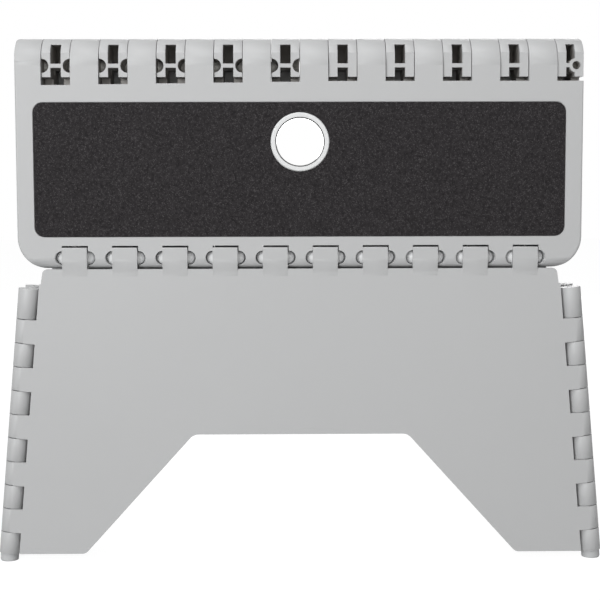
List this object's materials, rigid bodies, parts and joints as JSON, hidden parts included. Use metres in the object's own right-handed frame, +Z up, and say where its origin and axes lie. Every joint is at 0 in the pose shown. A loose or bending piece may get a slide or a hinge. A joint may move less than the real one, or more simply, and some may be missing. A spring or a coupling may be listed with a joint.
{
  "type": "folding caravan entry step",
  "caption": "Folding plastic entry step: hinged tread boards with grit pads and a finger hole, arched legs and side panels that fold flat.",
  "frame": {"origin": "on the floor under the middle of the folded step, in the plane between its two halves", "axes": "+X along the boards, to the right seen from the front; +Y from the front face to the rear face; +Z up. The rest pose is folded flat and standing on its feet."},
  "size_m": [0.4372, 0.043, 0.3744],
  "materials": {
    "shell_plastic": "light grey moulded plastic with a fine satin texture",
    "grip_grit": "near-black grit sheet, rough and sparkling slightly",
    "collar_plastic": "near-white smooth plastic",
    "pin_steel": "drawn steel wire",
    "foot_rubber": "light grey soft plastic"
  },
  "bodies": {
    "leg_front_body": {"leg_front": "shell_plastic", "corner_pin_front_left": "pin_steel", "corner_pin_front_right": "pin_steel", "foot_front_left": "foot_rubber", "foot_front_right": "foot_rubber"},
    "board_front_body": {"board_front": "shell_plastic", "grip_pad_front": "grip_grit", "hole_collar_front": "collar_plastic"},
    "board_rear_body": {"board_rear": "shell_plastic", "grip_pad_rear": "grip_grit", "hole_collar_rear": "collar_plastic"},
    "leg_rear_body": {"leg_rear": "shell_plastic", "corner_pin_rear_left": "pin_steel", "corner_pin_rear_right": "pin_steel", "foot_rear_left": "foot_rubber", "foot_rear_right": "foot_rubber"},
    "side_front_left_body": {"side_front_left": "shell_plastic", "middle_pin_left": "pin_steel"},
    "side_rear_left_body": {"side_rear_left": "shell_plastic"},
    "side_front_right_body": {"side_front_right": "shell_plastic", "middle_pin_right": "pin_steel"},
    "side_rear_right_body": {"side_rear_right": "shell_plastic"}
  },
  "joints": [
    {"name": "fold", "type": "hinge", "parent": "leg_front_body", "child": "board_front_body", "pos_m": [0, -0.0129, 0.2191], "axis": [-1, 0, 0], "range_deg": [0, 90]},
    {"name": "centre_hinge", "type": "hinge", "parent": "board_front_body", "child": "board_rear_body", "pos_m": [0, 0, 0.3541], "axis": [1, 0, 0], "range_deg": [0, 180]},
    {"name": "rear_leg_hinge", "type": "hinge", "parent": "board_rear_body", "child": "leg_rear_body", "pos_m": [0, 0.0129, 0.2191], "axis": [-1, 0, 0], "range_deg": [0, 90]},
    {"name": "corner_front_left", "type": "hinge", "parent": "leg_front_body", "child": "side_front_left_body", "pos_m": [-0.2117, -0.0129, 0], "axis": [0.0906, 0, 0.9959], "range_deg": [0, 90]},
    {"name": "middle_left", "type": "hinge", "parent": "side_front_left_body", "child": "side_rear_left_body", "pos_m": [-0.07726, 0, -0.01224], "axis": [-0.0906, 0, -0.9959], "range_deg": [0, 180]},
    {"name": "corner_front_right", "type": "hinge", "parent": "leg_front_body", "child": "side_front_right_body", "pos_m": [0.2117, -0.0129, 0], "axis": [0.0906, 0, -0.9959], "range_deg": [0, 90]},
    {"name": "middle_right", "type": "hinge", "parent": "side_front_right_body", "child": "side_rear_right_body", "pos_m": [0.07726, 0, -0.01224], "axis": [-0.0906, 0, 0.9959], "range_deg": [0, 180]}
  ],
  "couplings": [
    {"joint": "centre_hinge", "follows": "fold", "ratio": 2},
    {"joint": "rear_leg_hinge", "follows": "fold", "ratio": 1},
    {"joint": "corner_front_left", "follows": "fold", "ratio": 1},
    {"joint": "middle_left", "follows": "fold", "ratio": 2},
    {"joint": "corner_front_right", "follows": "fold", "ratio": 1},
    {"joint": "middle_right", "follows": "fold", "ratio": 2}
  ]
}
